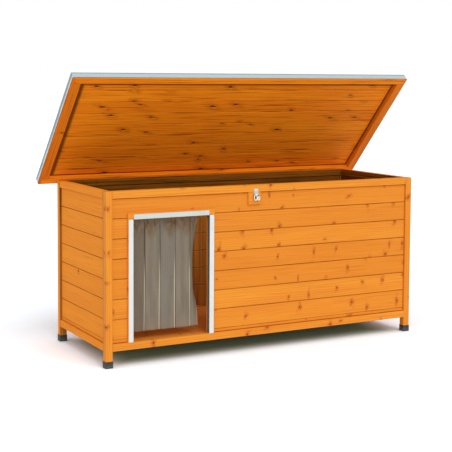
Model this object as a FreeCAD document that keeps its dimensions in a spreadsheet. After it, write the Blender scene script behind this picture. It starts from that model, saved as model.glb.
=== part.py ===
# Dog house: a boarded box on rubber feet with a strip curtain in its doorway and a hinged lid.
# Millimetres. +X runs along the front, +Y to the back and +Z up. The origin is on the floor under
# the middle of the whole dog house, with the lid open as the part stands at rest.

import FreeCAD, Part
import math
import os

import Sketcher

doc = FreeCAD.newDocument("dog_house")
sheet = doc.addObject("Spreadsheet::Sheet", "sizes")

# ---------------------------------------------------------------------------------------------
# Driving dimensions
# ---------------------------------------------------------------------------------------------

DIMENSIONS = {
    # box frame
    "width": (1500, "box, over the corner posts"),
    "depth": (550, "box, over the corner posts"),
    "height": (708, "floor to the top of the top rails"),
    "post": (30, "side of a corner post"),
    "rail": (30, "side of a rail"),
    "ground_gap": (66, "floor to the underside of the bottom rails"),
    "edge_break": (1.2, "small bevel along the timbers' edges"),
    # foot caps
    "cap_wall": (2, "wall of a rubber foot cap"),
    "cap_sole": (4, "rubber under a post"),
    "cap_height": (27, "height of a foot cap"),
    "cap_corner": (3, "bevel of a foot cap's corners"),
    # wall boards
    "board_thick": (14, "wall board"),
    "board_recess": (8, "wall board's face behind the posts' faces"),
    "board_count": (7, "wall boards, one above the other"),
    "board_lowest": (96, "cover width of the lowest wall board, the others share the rest"),
    "board_bevel": (3, "bevel of the board's edges, half of the V between two boards"),
    "tongue_thick": (4, "tongue of a wall board"),
    "tongue_long": (5, "tongue standing out of its board"),
    "tongue_play": (0.3, "groove larger than the tongue, all round"),
    # floor
    "floor_thick": (12, "floor board"),
    "floor_drop": (5, "floor's top below the top of the bottom rails"),
    "floor_pitch": (98, "cover width of a floor board"),
    "bearer_high": (13, "bearer under the floor boards"),
    "bearer_wide": (40, "bearer under the floor boards"),
    # doorway
    "door_left": (119, "box's left side to the clear doorway"),
    "door_wide": (344, "clear doorway between the angle trims"),
    "over_door": (60.5, "board left between the door head and the top rail"),
    "jamb_wide": (22, "door jamb across the doorway"),
    "jamb_deep": (30, "door jamb and head, front to back"),
    "head_high": (24, "door head"),
    "trim_leg": (20, "leg of the aluminium angle"),
    "trim_thick": (1.5, "aluminium angle"),
    "trim_corner": (2.5, "top trim's ends inside the side trims"),
    # strip curtain
    "batten_high": (20, "curtain batten"),
    "batten_deep": (30, "curtain batten"),
    "batten_up": (9, "batten's underside over the doorway's clear top"),
    "curtain_back": (50, "box's face to the curtain's hinge line"),
    "curtain_left_gap": (3, "left trim to the first strip"),
    "curtain_floor_gap": (28, "bottom rail's top to the strips' ends"),
    "strip_pitch": (69, "one strip and the slit beside it"),
    "strip_slit": (1, "slit between two strips"),
    "strip_thick": (2, "sheet of a strip"),
    "strip_gap": (0.4, "strips' rounded top under the batten"),
    "strip_last": (34, "width of the narrow last strip"),
    # latch
    "latch_left": (682, "box's left side to the latch's middle"),
    "block_wide": (61, "packing block behind the latch"),
    "block_high": (53, "packing block behind the latch"),
    "block_left": (5.5, "block's middle left of the latch's middle"),
    "latch_top": (16, "latch plate's top below the box's top"),
    "latch_wide": (21.6, "latch plate over its ears"),
    "latch_high": (44, "latch plate"),
    "latch_sheet": (1.5, "steel of plate, ears and lever"),
    "ear_round": (4, "rounded end of an ear"),
    "pin_out": (6.5, "latch pin in front of the rail's face"),
    "pin_drop": (40, "latch pin below the box's top"),
    "pin_round": (1.5, "radius of the latch pin"),
    "pin_play": (0.05, "radial play of a barrel on its pin"),
    "ear_gap": (0.3, "lever's barrel to each ear"),
    "barrel_round": (3, "radius of the lever's barrel"),
    "lever_long": (26.5, "pin to the ends of the lever's lobes"),
    "lobe_round": (7, "radius of a lobe of the lever"),
    "hook_deep": (5, "hooked end turned in behind the lever"),
    "neck_long": (2, "lever's neck below the ears' rounded ends"),
    "hook_up": (0.8, "hooked end's underside over the lobe's edge"),
    "lever_hole": (2.5, "radius of the hole in the lever"),
    "hole_drop": (10, "pin to the lever's hole"),
    # lid
    "open_angle": (46.6, "degrees that the lid is open at rest"),
    "lid_over": (77, "lid's outer face past the box, left and right"),
    "lid_reach": (640, "hinge axis to the front of the lid"),
    "lid_timber_wide": (30, "frame timber of the lid"),
    "lid_timber_high": (22, "frame timber and lath of the lid"),
    "lid_lath": (10, "lath outside a side timber"),
    "lid_rest_gap": (0.3, "closed lid's boards over the top rails"),
    "lid_board_thick": (9.5, "lid board"),
    "lid_board_pitch": (68.5, "cover width of a lid board"),
    "lid_bevel": (2.5, "bevel of a lid board's edges"),
    "lid_tongue_thick": (3, "tongue of a lid board"),
    "roof_thick": (1, "roof sheet and edge trims"),
    "drip_flange": (24, "edge trim over the roof sheet"),
    "drip_bottom": (3.5, "edge trim's lower edge over the frame's underside"),
    "drip_lip": (6, "height of the kicked lip"),
    "drip_kick": (3, "lip's way outwards"),
    # hinges
    "hinge_count": (3, "butt hinges along the back"),
    "hinge_inset": (250, "box's side to the first hinge's middle"),
    "hinge_long": (60, "length of a hinge"),
    "hinge_leaf": (20, "height of a leaf from the axis"),
    "hinge_sheet": (1.5, "leaf of a hinge"),
    "knuckle_round": (3.5, "radius of a knuckle"),
    "knuckle_gap": (0.3, "gap between two knuckles"),
    "knuckle_clear": (0.5, "knuckle to the timber in front of it"),
    "hinge_pin_round": (1.6, "radius of a hinge pin"),
    "wall_gap": (1, "back rail's face to the lid's rear timber"),
    "hinge_batten_high": (30, "batten that carries the hinges"),
    "hinge_batten_gap": (0.5, "batten's top under the lid's rear timber"),
    # keeper
    "keeper_wide": (20, "keeper on the lid"),
    "keeper_up": (5, "keeper's tongue over the frame's underside"),
    "keeper_high": (13, "keeper's plate"),
    "keeper_tongue": (8, "keeper's tongue towards the box"),
}

number = {name: value for name, (value, note) in DIMENSIONS.items()}

# The whole dog house reaches from the latch's lever in front to the lid's upper rear corner, and the
# origin lies midway.
lid_top = number["lid_timber_high"] + number["lid_board_thick"] + 2 * number["roof_thick"]
hinge_back = number["wall_gap"] + number["lid_timber_wide"]
hinge_back += number["knuckle_clear"] + number["knuckle_round"]
roof_rear = number["knuckle_clear"] + number["knuckle_round"]
open_sine = math.sin(math.radians(number["open_angle"]))
open_cosine = math.cos(math.radians(number["open_angle"]))
rearmost = number["depth"] + hinge_back + lid_top * open_sine - roof_rear * open_cosine
foremost = number["pin_out"] + number["ear_round"]
DIMENSIONS["front_face"] = ((foremost - rearmost) / 2, "y of the posts' front faces")

for row, (name, (value, note)) in enumerate(DIMENSIONS.items(), start=1):
    sheet.set("A%d" % row, name)
    sheet.set("B%d" % row, "%.6g" % value)
    sheet.set("C%d" % row, note)
    sheet.setAlias("B%d" % row, name)
doc.recompute()

# Places that several sub-parts share, as expressions on the sheet
LEFT = "-sizes.width / 2"
RIGHT = "sizes.width / 2"
FRONT = "sizes.front_face"
BACK = "sizes.front_face + sizes.depth"
RAIL_TOP = "(sizes.ground_gap + sizes.rail)"
TOP_RAIL = "(sizes.height - sizes.rail)"
WALL_SPAN = "(sizes.height - sizes.ground_gap - 2 * sizes.rail)"
LONG_INSIDE = "(sizes.width - 2 * sizes.post)"
DEEP_INSIDE = "(sizes.depth - 2 * sizes.post)"
CLEAR_LEFT = "(-sizes.width / 2 + sizes.door_left)"
CLEAR_RIGHT = "(-sizes.width / 2 + sizes.door_left + sizes.door_wide)"
HEAD_TOP = "(%s - sizes.over_door)" % TOP_RAIL
HEAD_BOTTOM = "(%s - sizes.head_high)" % HEAD_TOP
CLEAR_TOP = "(%s - sizes.trim_thick)" % HEAD_BOTTOM
DOOR_HIGH = "(%s - %s)" % (CLEAR_TOP, RAIL_TOP)
FRAME_LEFT = "(%s - sizes.trim_thick - sizes.jamb_wide)" % CLEAR_LEFT
FRAME_RIGHT = "(%s + sizes.trim_thick + sizes.jamb_wide)" % CLEAR_RIGHT
FRAME_WIDE = "(sizes.door_wide + 2 * sizes.trim_thick + 2 * sizes.jamb_wide)"
HINGE_BACK = "(sizes.wall_gap + sizes.lid_timber_wide + sizes.knuckle_clear + sizes.knuckle_round)"
HINGE_Y = "%s + %s" % (BACK, HINGE_BACK)
HINGE_Z = "(sizes.height + sizes.lid_rest_gap - sizes.lid_timber_high)"

# Lid, in its closed place with the hinge axis as origin: y runs to the back and z up
LID_REAR = "-(sizes.knuckle_clear + sizes.knuckle_round)"
LID_FRONT = "-(sizes.lid_reach - sizes.roof_thick)"
LID_SIDE = "(sizes.width / 2 + sizes.lid_over - sizes.roof_thick)"
LID_DEEP = "(%s - (%s))" % (LID_REAR, LID_FRONT)
TIMBER_SIDE = "(%s - sizes.lid_lath)" % LID_SIDE
SHEET_Z = "(sizes.lid_timber_high + sizes.lid_board_thick)"

nodes = []


# ---------------------------------------------------------------------------------------------
# Tools
# ---------------------------------------------------------------------------------------------

def place(item, x="0", y="0", z="0"):
    """Puts an object's origin at x, y, z, each an expression."""
    for axis, expression in zip("xyz", (x, y, z)):
        item.setExpression(".Placement.Base." + axis, expression)
    return item


def place_on_lid(item):
    """Turns an object, modelled round the hinge axis with the lid closed, to the open lid."""
    place(item, "0", HINGE_Y, HINGE_Z)
    item.setExpression(".Placement.Rotation.Axis.x", "1")
    item.setExpression(".Placement.Rotation.Axis.y", "0")
    item.setExpression(".Placement.Rotation.Axis.z", "0")
    item.setExpression(".Placement.Rotation.Angle", "-sizes.open_angle")
    return item


def node(item, label):
    """Makes an object a sub-part of its own, under its label."""
    item.Label = label
    nodes.append(item)
    return item


def outline(body, plane, points, offset="0"):
    """Closed sketch on one of the body's own planes, each corner bound to two expressions."""
    sketch = body.newObject("Sketcher::SketchObject", "Profile")
    features = body.Origin.OriginFeatures
    base = [feature for feature in features if feature.Role == plane][0]
    sketch.AttachmentSupport = [(base, "")]
    sketch.MapMode = "FlatFace"
    sketch.setExpression(".AttachmentOffset.Base.z", offset)
    values = [[number_of(sketch, text) for text in point] for point in points]
    corners = [FreeCAD.Vector(u, v, 0) for u, v in values]
    count = len(corners)
    for i in range(count):
        sketch.addGeometry(Part.LineSegment(corners[i], corners[(i + 1) % count]), False)
    for i in range(count):
        sketch.addConstraint(Sketcher.Constraint("Coincident", i, 2, (i + 1) % count, 1))
    for i, point in enumerate(points):
        for kind, text, value in zip(("DistanceX", "DistanceY"), point, values[i]):
            index = sketch.addConstraint(Sketcher.Constraint(kind, -1, 1, i, 1, value))
            sketch.setExpression("Constraints[%d]" % index, text)
    return sketch


def number_of(item, text):
    """Present value of an expression in millimetres."""
    value = item.evalExpression(text)
    return float(getattr(value, "Value", value))


def prism(label, plane, points, length):
    """Body: an outline carried along the axis that stands on its plane."""
    body = doc.addObject("PartDesign::Body", label)
    sketch = outline(body, plane, points)
    pad = body.newObject("PartDesign::Pad", "Pad")
    pad.Profile = sketch
    pad.Reversed = plane == "XZ_Plane"
    pad.setExpression("Length", length)
    return body


def cut_through(body, plane, points):
    """Pocket right through a body in both directions."""
    doc.recompute()
    before = body.Shape.Volume
    pocket = body.newObject("PartDesign::Pocket", "Pocket")
    pocket.Profile = outline(body, plane, points)
    pocket.Type = 1
    pocket.Midplane = True
    doc.recompute()
    if body.Shape.Volume >= before:
        raise RuntimeError("%s: its pocket cuts nothing" % body.Label)
    return pocket


def bevelled(wide, high, bevel="sizes.edge_break"):
    """Rectangle from 0, 0 with its four corners bevelled."""
    far, top = "%s - %s" % (wide, bevel), "%s - %s" % (high, bevel)
    return [(bevel, "0"), (far, "0"), (wide, bevel), (wide, top),
            (far, high), (bevel, high), ("0", top), ("0", bevel)]


def rectangle(u0, v0, u1, v1):
    """Rectangle between two corners."""
    return [(u0, v0), (u1, v0), (u1, v1), (u0, v1)]


def timber(label, plane, wide, high, length, x, y, z):
    """Square-sawn stick with broken edges, at its own place."""
    return node(place(prism(label, plane, bevelled(wide, high), length), x, y, z), label)


def board_outline(thick, cover, bevel, tongue, has_groove, has_tongue, flat):
    """Tongue-and-groove board: thickness across, cover width along; flat swaps the two."""
    low, high = "(%s - %s) / 2" % (thick, tongue), "(%s + %s) / 2" % (thick, tongue)
    play, stand = "sizes.tongue_play", "sizes.tongue_long"
    points = [(bevel, "0"), ("0", bevel), ("0", "%s - %s" % (cover, bevel)), (bevel, cover)]
    if has_tongue:
        tip = "%s + %s" % (cover, stand)
        points += [(low, cover), (low, tip), (high, tip), (high, cover)]
    points += [("%s - %s" % (thick, bevel), cover), (thick, "%s - %s" % (cover, bevel)),
               (thick, bevel), ("%s - %s" % (thick, bevel), "0")]
    if has_groove:
        root = "%s + %s" % (stand, play)
        points += [("%s + %s" % (high, play), "0"), ("%s + %s" % (high, play), root),
                   ("%s - %s" % (low, play), root), ("%s - %s" % (low, play), "0")]
    if flat:
        points = [(v, u) for u, v in points]
    return points


def board_rows(span, pitch):
    """Boards that cover a span: the first takes what is left over, the rest one pitch each."""
    return max(1, int(span // pitch))


def group(label, items):
    """Several separate solids that share one node."""
    compound = doc.addObject("Part::Compound", label)
    compound.Links = items
    return node(compound, label)


def box(x, y, z, long, deep, high):
    """Part box between expressions."""
    item = doc.addObject("Part::Box", "Block")
    for name, text in (("Length", long), ("Width", deep), ("Height", high)):
        item.setExpression(name, text)
    return place(item, x, y, z)


def rod(radius, length, x, y, z, along="X"):
    """Part cylinder that starts at x, y, z and runs along X or Y."""
    item = doc.addObject("Part::Cylinder", "Rod")
    item.setExpression("Radius", radius)
    item.setExpression("Height", length)
    place(item, x, y, z)
    turn = {"X": FreeCAD.Vector(0, 1, 0), "Y": FreeCAD.Vector(-1, 0, 0)}[along]
    item.Placement.Rotation = FreeCAD.Rotation(turn, 90)
    return item


def fused(items):
    """Union of several objects."""
    union = doc.addObject("Part::MultiFuse", "Union")
    union.Shapes = items
    return union


def without(base, tools):
    """One object with others taken out of it."""
    for tool in tools:
        cut = doc.addObject("Part::Cut", "Cut")
        cut.Base = base
        cut.Tool = tool
        base = cut
    return base


# ---------------------------------------------------------------------------------------------
# Box: posts on rubber caps, rails between them
# ---------------------------------------------------------------------------------------------

def make_posts():
    """Four corner posts, each standing in a rubber cup."""
    outer = "(sizes.post + 2 * sizes.cap_wall)"
    corners = {
        "front_left": (LEFT, FRONT),
        "front_right": (RIGHT + " - sizes.post", FRONT),
        "back_left": (LEFT, BACK + " - sizes.post"),
        "back_right": (RIGHT + " - sizes.post", BACK + " - sizes.post"),
    }
    for corner, (x, y) in corners.items():
        timber("post_" + corner, "XY_Plane", "sizes.post", "sizes.post",
               "sizes.height - sizes.cap_sole", x, y, "sizes.cap_sole")
        cap = prism("foot_cap_" + corner, "XY_Plane",
                    bevelled(outer, outer, "sizes.cap_corner"), "sizes.cap_height")
        hollow = cap.newObject("PartDesign::Pocket", "Hollow")
        inner = [("%s + sizes.cap_wall" % u, "%s + sizes.cap_wall" % v)
                 for u, v in bevelled("sizes.post", "sizes.post")]
        hollow.Profile = outline(cap, "XY_Plane", inner, "sizes.cap_sole")
        hollow.Reversed = True
        hollow.Type = 1
        place(cap, x + " - sizes.cap_wall", y + " - sizes.cap_wall", "0")
        node(cap, "foot_cap_" + corner)


def make_rails():
    """Rails between the posts, at the top and over the ground gap."""
    inside_left = LEFT + " + sizes.post"
    inside_front = FRONT + " + sizes.post"
    for level, z in (("top", TOP_RAIL), ("bottom", "sizes.ground_gap")):
        for side, y in (("front", FRONT), ("back", BACK + " - sizes.rail")):
            timber("%s_rail_%s" % (level, side), "YZ_Plane", "sizes.rail", "sizes.rail",
                   LONG_INSIDE, inside_left, y, z)
        for side, x in (("left", LEFT), ("right", RIGHT + " - sizes.rail")):
            timber("%s_rail_%s" % (level, side), "XZ_Plane", "sizes.rail", "sizes.rail",
                   DEEP_INSIDE, x, inside_front, z)


def make_floor():
    """Floor boards between the bottom rails, on a bearer across their middle."""
    span = number["depth"] - 2 * number["post"]
    rows = board_rows(span, number["floor_pitch"])
    floor_z = "(%s - sizes.floor_drop - sizes.floor_thick)" % RAIL_TOP
    boards = []
    for i in range(rows):
        cover, start = "sizes.floor_pitch", "(%s - %d * sizes.floor_pitch)" % (DEEP_INSIDE, rows - i)
        if i == 0:
            cover, start = "(%s - %d * sizes.floor_pitch)" % (DEEP_INSIDE, rows - 1), "0"
        board = prism("floor_board_%d" % (i + 1), "YZ_Plane",
                      bevelled(cover, "sizes.floor_thick"), LONG_INSIDE)
        boards.append(place(board, LEFT + " + sizes.post",
                            "%s + sizes.post + %s" % (FRONT, start), floor_z))
    group("floor_boards", boards)
    timber("floor_bearer", "XZ_Plane", "sizes.bearer_wide", "sizes.bearer_high", DEEP_INSIDE,
           "-sizes.bearer_wide / 2", FRONT + " + sizes.post", floor_z + " - sizes.bearer_high")


# ---------------------------------------------------------------------------------------------
# Walls of tongue-and-groove boards
# ---------------------------------------------------------------------------------------------

def wall_rows():
    """Each wall board as its index, first height, cover width and ends' form."""
    count = int(number["board_count"])
    span = number["height"] - number["ground_gap"] - 2 * number["rail"]
    pitch = (span - number["board_lowest"]) / (count - 1)
    cover = "((%s - sizes.board_lowest) / %d)" % (WALL_SPAN, count - 1)
    low = number["ground_gap"] + number["rail"]
    rows = [(1, RAIL_TOP, "sizes.board_lowest", False, True, low, low + number["board_lowest"])]
    for i in range(1, count):
        low = number["height"] - number["rail"] - (count - i) * pitch
        z = "(%s - %d * %s)" % (TOP_RAIL, count - i, cover)
        rows.append((i + 1, z, cover, True, i < count - 1, low, low + pitch))
    return rows


def wall_board(label, plane, row, length, x, y):
    """One wall board at its height."""
    index, z, cover, groove, tongue, low, high = row
    points = board_outline("sizes.board_thick", cover, "sizes.board_bevel",
                           "sizes.tongue_thick", groove, tongue, False)
    return place(prism(label, plane, points, length), x, y, z)


def make_walls():
    """Back and side walls, one node each."""
    inner = "sizes.board_recess + sizes.board_thick"
    walls = {
        "back": ("YZ_Plane", LONG_INSIDE, LEFT + " + sizes.post", "%s - (%s)" % (BACK, inner)),
        "left": ("XZ_Plane", DEEP_INSIDE, LEFT + " + sizes.board_recess", FRONT + " + sizes.post"),
        "right": ("XZ_Plane", DEEP_INSIDE, "%s - (%s)" % (RIGHT, inner), FRONT + " + sizes.post"),
    }
    for side, (plane, length, x, y) in walls.items():
        boards = [wall_board("%s_board_%d" % (side, row[0]), plane, row, length, x, y)
                  for row in wall_rows()]
        group(side + "_boards", boards)


def make_front_wall():
    """Front wall, parted by the doorway: one node per long board, one for the short ones."""
    y = FRONT + " + sizes.board_recess"
    head_top = number["height"] - number["rail"] - number["over_door"]
    stub_long = "%s - (%s + sizes.post)" % (FRAME_LEFT, LEFT)
    long_long = "%s - sizes.post - %s" % (RIGHT, FRAME_RIGHT)
    stubs = []
    for row in wall_rows():
        index, z, cover, groove, tongue, low, high = row
        label = "front_board_%d" % index
        if high <= head_top:
            stubs.append(wall_board("front_stub_%d" % index, "YZ_Plane", row, stub_long,
                                    LEFT + " + sizes.post", y))
            node(wall_board(label, "YZ_Plane", row, long_long, FRAME_RIGHT, y), label)
            continue
        board = wall_board(label, "YZ_Plane", row, LONG_INSIDE, LEFT + " + sizes.post", y)
        if low < head_top:
            start = "%s - (%s + sizes.post)" % (FRAME_LEFT, LEFT)
            cut_through(board, "XZ_Plane",
                        rectangle(start, "0", "%s + %s" % (start, FRAME_WIDE),
                                  "%s - %s" % (HEAD_TOP, z)))
        node(board, label)
    group("front_stub_boards", stubs)


# ---------------------------------------------------------------------------------------------
# Doorway: wooden frame, aluminium angles and the strip curtain
# ---------------------------------------------------------------------------------------------

def make_door_frame():
    """Jambs on the bottom rail and the head over them."""
    high = "%s - %s" % (HEAD_BOTTOM, RAIL_TOP)
    timber("door_jamb_left", "XY_Plane", "sizes.jamb_wide", "sizes.jamb_deep", high,
           FRAME_LEFT, FRONT, RAIL_TOP)
    timber("door_jamb_right", "XY_Plane", "sizes.jamb_wide", "sizes.jamb_deep", high,
           "%s - sizes.jamb_wide" % FRAME_RIGHT, FRONT, RAIL_TOP)
    timber("door_head", "YZ_Plane", "sizes.jamb_deep", "sizes.head_high", FRAME_WIDE,
           FRAME_LEFT, FRONT, HEAD_BOTTOM)


def make_trims():
    """Aluminium angles round the doorway, stopped short of its top corners."""
    leg, sheet_thick = "sizes.trim_leg", "sizes.trim_thick"
    inner = "%s - %s" % (leg, sheet_thick)
    for side, sign, x in (("left", "-", CLEAR_LEFT), ("right", "", CLEAR_RIGHT)):
        points = [("0", "-" + sheet_thick), (sign + leg, "-" + sheet_thick), (sign + leg, "0"),
                  (sign + sheet_thick, "0"), (sign + sheet_thick, inner), ("0", inner)]
        label = "door_trim_" + side
        body = prism(label, "XY_Plane", points, DOOR_HIGH)
        node(place(body, x, FRONT, RAIL_TOP), label)
    points = [("-" + sheet_thick, "0"), (inner, "0"), (inner, sheet_thick), ("0", sheet_thick),
              ("0", leg), ("-" + sheet_thick, leg)]
    top = prism("door_trim_top", "YZ_Plane", points, "sizes.door_wide - 2 * sizes.trim_corner")
    node(place(top, "%s + sizes.trim_corner" % CLEAR_LEFT, FRONT, CLEAR_TOP), "door_trim_top")


def strip_section(start, wide, bow, drop):
    """Wire across a strip: two arcs a sheet apart, bowed to the front, closed by two lines."""
    half = number["strip_thick"] / 2
    ends = []
    for offset in (-half, half):
        first = FreeCAD.Vector(start, offset, -drop)
        middle = FreeCAD.Vector(start + wide / 2, offset - bow, -drop)
        last = FreeCAD.Vector(start + wide, offset, -drop)
        ends.append((first, middle, last))
    near, far = ends
    edges = [Part.Arc(near[0], near[1], near[2]).toShape(),
             Part.makeLine(near[2], far[2]),
             Part.Arc(far[2], far[1], far[0]).toShape(),
             Part.makeLine(far[0], near[0])]
    return Part.Wire(edges)


def make_curtain():
    """Batten behind the door head and the clear strips that swing under it."""
    timber("curtain_batten", "YZ_Plane", "sizes.batten_deep", "sizes.batten_high", FRAME_WIDE,
           FRAME_LEFT, FRONT + " + sizes.jamb_deep", "%s + sizes.batten_up" % CLEAR_TOP)
    top = number["height"] - number["rail"] - number["over_door"] - number["head_high"]
    top += number["batten_up"] - number["trim_thick"]
    axis_z = top - number["strip_gap"] - number["strip_thick"] / 2
    bottom = number["ground_gap"] + number["rail"] + number["curtain_floor_gap"]
    hang = axis_z - bottom
    width = number["door_wide"] - number["curtain_left_gap"]
    start = -number["width"] / 2 + number["door_left"] + number["curtain_left_gap"]
    count = max(2, int(width // number["strip_pitch"]) + 1)
    # bow of the sheet at each share of its hanging length, in millimetres
    bows = ((0.03, 0.15), (0.08, 5.0), (0.14, 1.5), (0.45, 2.5), (0.8, 1.2), (1.0, 3.5))
    for i in range(count):
        last = i == count - 1
        wide = number["strip_last"] if last else number["strip_pitch"] - number["strip_slit"]
        x = start + i * number["strip_pitch"]
        sections = [strip_section(x, wide, bow * (1 - 0.3 * (i % 2)), hang * share)
                    for share, bow in bows]
        sheet_solid = Part.makeLoft(sections, True, True)
        neck = Part.makeBox(wide, number["strip_thick"], hang * bows[0][0],
                            FreeCAD.Vector(x, -number["strip_thick"] / 2, -hang * bows[0][0]))
        bead = Part.makeCylinder(number["strip_thick"] / 2, wide, FreeCAD.Vector(x, 0, 0),
                                 FreeCAD.Vector(1, 0, 0))
        strip = doc.addObject("Part::Feature", "Strip")
        strip.Shape = sheet_solid.fuse([neck, bead])
        y_front = DIMENSIONS["front_face"][0] + number["curtain_back"]
        strip.Placement = FreeCAD.Placement(FreeCAD.Vector(0, y_front, axis_z),
                                            FreeCAD.Rotation())
        node(strip, "curtain_strip_%d" % (i + 1))


# ---------------------------------------------------------------------------------------------
# Latch on the front, and its keeper inside the lid's front timber
# ---------------------------------------------------------------------------------------------

LATCH_X = "(%s + sizes.latch_left)" % LEFT
PIN_Y = "(%s - sizes.pin_out)" % FRONT
PIN_Z = "(sizes.height - sizes.pin_drop)"


def make_latch():
    """Packing block, plate with two ears and a pin, and the lever on the pin."""
    timber("latch_block", "XZ_Plane", "sizes.block_wide", "sizes.block_high",
           "sizes.board_recess", "%s - sizes.block_left - sizes.block_wide / 2" % LATCH_X,
           FRONT, "%s - sizes.block_high" % TOP_RAIL)
    steel, half = "sizes.latch_sheet", "sizes.latch_wide / 2"
    plate_z = "(sizes.height - sizes.latch_top - sizes.latch_high)"
    plate = box("%s - %s" % (LATCH_X, half), "%s - %s" % (FRONT, steel), plate_z,
                "sizes.latch_wide", steel, "sizes.latch_high")
    ears = []
    for x in ("%s - %s" % (LATCH_X, half), "%s + %s - %s" % (LATCH_X, half, steel)):
        ears.append(box(x, PIN_Y, "%s - sizes.ear_round" % PIN_Z, steel,
                        "sizes.pin_out", "2 * sizes.ear_round"))
        ears.append(rod("sizes.ear_round", steel, x, PIN_Y, PIN_Z))
    bore = rod("sizes.pin_round", "sizes.latch_wide + 2", "%s - %s - 1" % (LATCH_X, half),
               PIN_Y, PIN_Z)
    plate_with_ears = without(fused([plate] + ears), [bore])
    pin = rod("sizes.pin_round", "sizes.latch_wide", "%s - %s" % (LATCH_X, half), PIN_Y, PIN_Z)
    group("latch_plate", [plate_with_ears, pin])

    inner = "(sizes.latch_wide / 2 - sizes.latch_sheet - sizes.ear_gap)"
    lobe = "sizes.lobe_round"
    lobe_z = "(%s - sizes.lever_long + %s)" % (PIN_Z, lobe)
    face_y = "(%s - sizes.barrel_round)" % PIN_Y
    neck_z = "(%s - sizes.ear_round - sizes.neck_long)" % PIN_Z
    neck = box("%s - %s" % (LATCH_X, inner), face_y, neck_z, "2 * " + inner, steel,
               "%s - %s" % (PIN_Z, neck_z))
    blade = box("%s - 2 * %s" % (LATCH_X, lobe), face_y, lobe_z, "4 * " + lobe, steel,
                "%s - %s" % (neck_z, lobe_z))
    barrel = rod("sizes.barrel_round", "2 * " + inner, "%s - %s" % (LATCH_X, inner),
                 PIN_Y, PIN_Z)
    pieces = [neck, blade, barrel]
    for sign in "-+":
        middle = "%s %s %s" % (LATCH_X, sign, lobe)
        pieces.append(rod(lobe, steel, middle, face_y, lobe_z, "Y"))
        pieces.append(box("%s - %s / 2" % (middle, lobe), face_y,
                          "%s - %s + sizes.hook_up" % (lobe_z, lobe), lobe,
                          "sizes.hook_deep + " + steel, steel))
    bore = rod("sizes.pin_round + sizes.pin_play", "2 * " + inner + " + 2",
               "%s - %s - 1" % (LATCH_X, inner), PIN_Y, PIN_Z)
    hole = rod("sizes.lever_hole", "4 * " + steel, LATCH_X, "%s - %s" % (face_y, steel),
               "%s - sizes.hole_drop" % PIN_Z, "Y")
    node(without(fused(pieces), [bore, hole]), "latch_lever")


def make_keeper():
    """Angle on the inner face of the lid's front timber, its tongue towards the box."""
    inner_face = "(%s + sizes.lid_timber_wide)" % LID_FRONT
    steel, up = "sizes.latch_sheet", "sizes.keeper_up"
    points = [(inner_face, up), ("%s + sizes.keeper_tongue" % inner_face, up),
              ("%s + sizes.keeper_tongue" % inner_face, "%s + %s" % (up, steel)),
              ("%s + %s" % (inner_face, steel), "%s + %s" % (up, steel)),
              ("%s + %s" % (inner_face, steel), "%s + sizes.keeper_high" % up),
              (inner_face, "%s + sizes.keeper_high" % up)]
    lid_prism("latch_keeper", "YZ_Plane", points, "sizes.keeper_wide",
              "%s - sizes.keeper_wide / 2" % LATCH_X)


# ---------------------------------------------------------------------------------------------
# Lid: timber frame, boards, roof sheet and edge trims, modelled closed round the hinge axis
# ---------------------------------------------------------------------------------------------

def lid_piece(label, plane, points, length, start):
    """Prism whose outline lies at `start` along its own axis, in the lid's own place."""
    body = doc.addObject("PartDesign::Body", label)
    offset = start if plane != "XZ_Plane" else "-(%s)" % start
    pad = body.newObject("PartDesign::Pad", "Pad")
    pad.Profile = outline(body, plane, points, offset)
    pad.Reversed = plane == "XZ_Plane"
    pad.setExpression("Length", length)
    return body


def lid_prism(label, plane, points, length, start):
    """Sub-part of the lid."""
    return node(place_on_lid(lid_piece(label, plane, points, length, start)), label)


def moved(points, u, v):
    """Outline shifted by two expressions."""
    return [("%s + %s" % (u, a), "%s + %s" % (v, b)) for a, b in points]


def make_lid_frame():
    """Front and rear timbers over the whole width, side timbers between them, laths outside."""
    wide, high = "sizes.lid_timber_wide", "sizes.lid_timber_high"
    stick = bevelled(wide, high)
    for side, y in (("front", LID_FRONT), ("rear", "(%s - %s)" % (LID_REAR, wide))):
        lid_prism("lid_timber_" + side, "YZ_Plane", moved(stick, y, "0"),
                  "2 * " + TIMBER_SIDE, "-" + TIMBER_SIDE)
    between = "%s - 2 * %s" % (LID_DEEP, wide)
    start = "(%s + %s)" % (LID_FRONT, wide)
    lath = bevelled("sizes.lid_lath", high)
    for side, stick_x, lath_x in (("left", "-" + TIMBER_SIDE, "-" + LID_SIDE),
                                  ("right", "%s - %s" % (TIMBER_SIDE, wide), TIMBER_SIDE)):
        lid_prism("lid_timber_" + side, "XZ_Plane", moved(stick, stick_x, "0"), between, start)
        lid_prism("lid_lath_" + side, "XZ_Plane", moved(lath, lath_x, "0"), LID_DEEP, LID_FRONT)


def make_lid_boards():
    """Boards across the whole lid on its frame, the widest at the front."""
    span = number["lid_reach"] - number["roof_thick"] - roof_rear
    rows = board_rows(span, number["lid_board_pitch"])
    boards = []
    for i in range(rows):
        cover = "sizes.lid_board_pitch"
        y = "(%s - %d * sizes.lid_board_pitch)" % (LID_REAR, rows - i)
        if i == 0:
            cover = "(%s - %d * sizes.lid_board_pitch)" % (LID_DEEP, rows - 1)
            y = LID_FRONT
        points = board_outline("sizes.lid_board_thick", cover, "sizes.lid_bevel",
                               "sizes.lid_tongue_thick", i > 0, i < rows - 1, True)
        boards.append(lid_piece("lid_board_%d" % (i + 1), "YZ_Plane",
                                moved(points, y, "sizes.lid_timber_high"),
                                "2 * " + LID_SIDE, "-" + LID_SIDE))
    place_on_lid(group("lid_boards", boards))


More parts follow.
